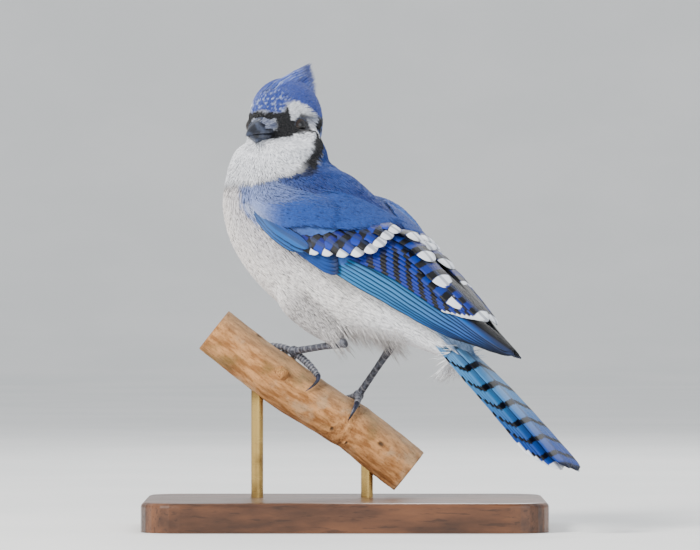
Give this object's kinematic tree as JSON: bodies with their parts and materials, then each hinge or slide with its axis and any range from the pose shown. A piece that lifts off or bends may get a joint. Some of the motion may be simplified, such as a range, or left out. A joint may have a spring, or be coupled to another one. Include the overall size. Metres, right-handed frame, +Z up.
{
  "type": "blue jay, life-size still model on a perch and stand",
  "caption": "Life-size still model of a crested blue jay gripping a short cut branch, held over a flat base by two rods.",
  "frame": {"origin": "centre of the stand base's underside", "axes": "+Z up, +X along the base towards the branch's lower end and the tail, -Y towards the viewer of the picture"},
  "size_m": [0.1769, 0.1318, 0.1927],
  "materials": {
    "bark": "smooth peeling bark, satin",
    "base_wood": "satin varnish",
    "rod_brass": "satin",
    "crown_feathers": "soft matte plumage",
    "neck_feathers": "soft matte plumage",
    "body_feathers": "soft matte plumage",
    "rump_feathers": "soft matte plumage",
    "wing_feathers": "sleek vanes with a slight sheen",
    "tail_feathers": "sleek vanes with a slight sheen",
    "horn": "satin horn",
    "eye": "high gloss",
    "leg_scales": "horny plates"
  },
  "bodies": {
    "root": {"perch_branch": "bark", "stand_base": "base_wood", "stand_rod_1": "rod_brass", "stand_rod_2": "rod_brass", "head": "crown_feathers", "neck": "neck_feathers", "torso": "body_feathers", "rump": "rump_feathers", "tail": "tail_feathers", "bill_upper": "horn", "bill_lower": "horn", "eye_left": "eye", "eye_right": "eye", "wing_left": "wing_feathers", "wing_right": "wing_feathers", "thigh_left": "body_feathers", "thigh_right": "body_feathers", "shank_left": "leg_scales", "shank_right": "leg_scales", "foot_left": "leg_scales", "foot_right": "leg_scales", "claw_left_hind": "horn", "claw_left_inner": "horn", "claw_left_middle": "horn", "claw_left_outer": "horn", "claw_right_hind": "horn", "claw_right_inner": "horn", "claw_right_middle": "horn", "claw_right_outer": "horn"}
  },
  "joints": []
}
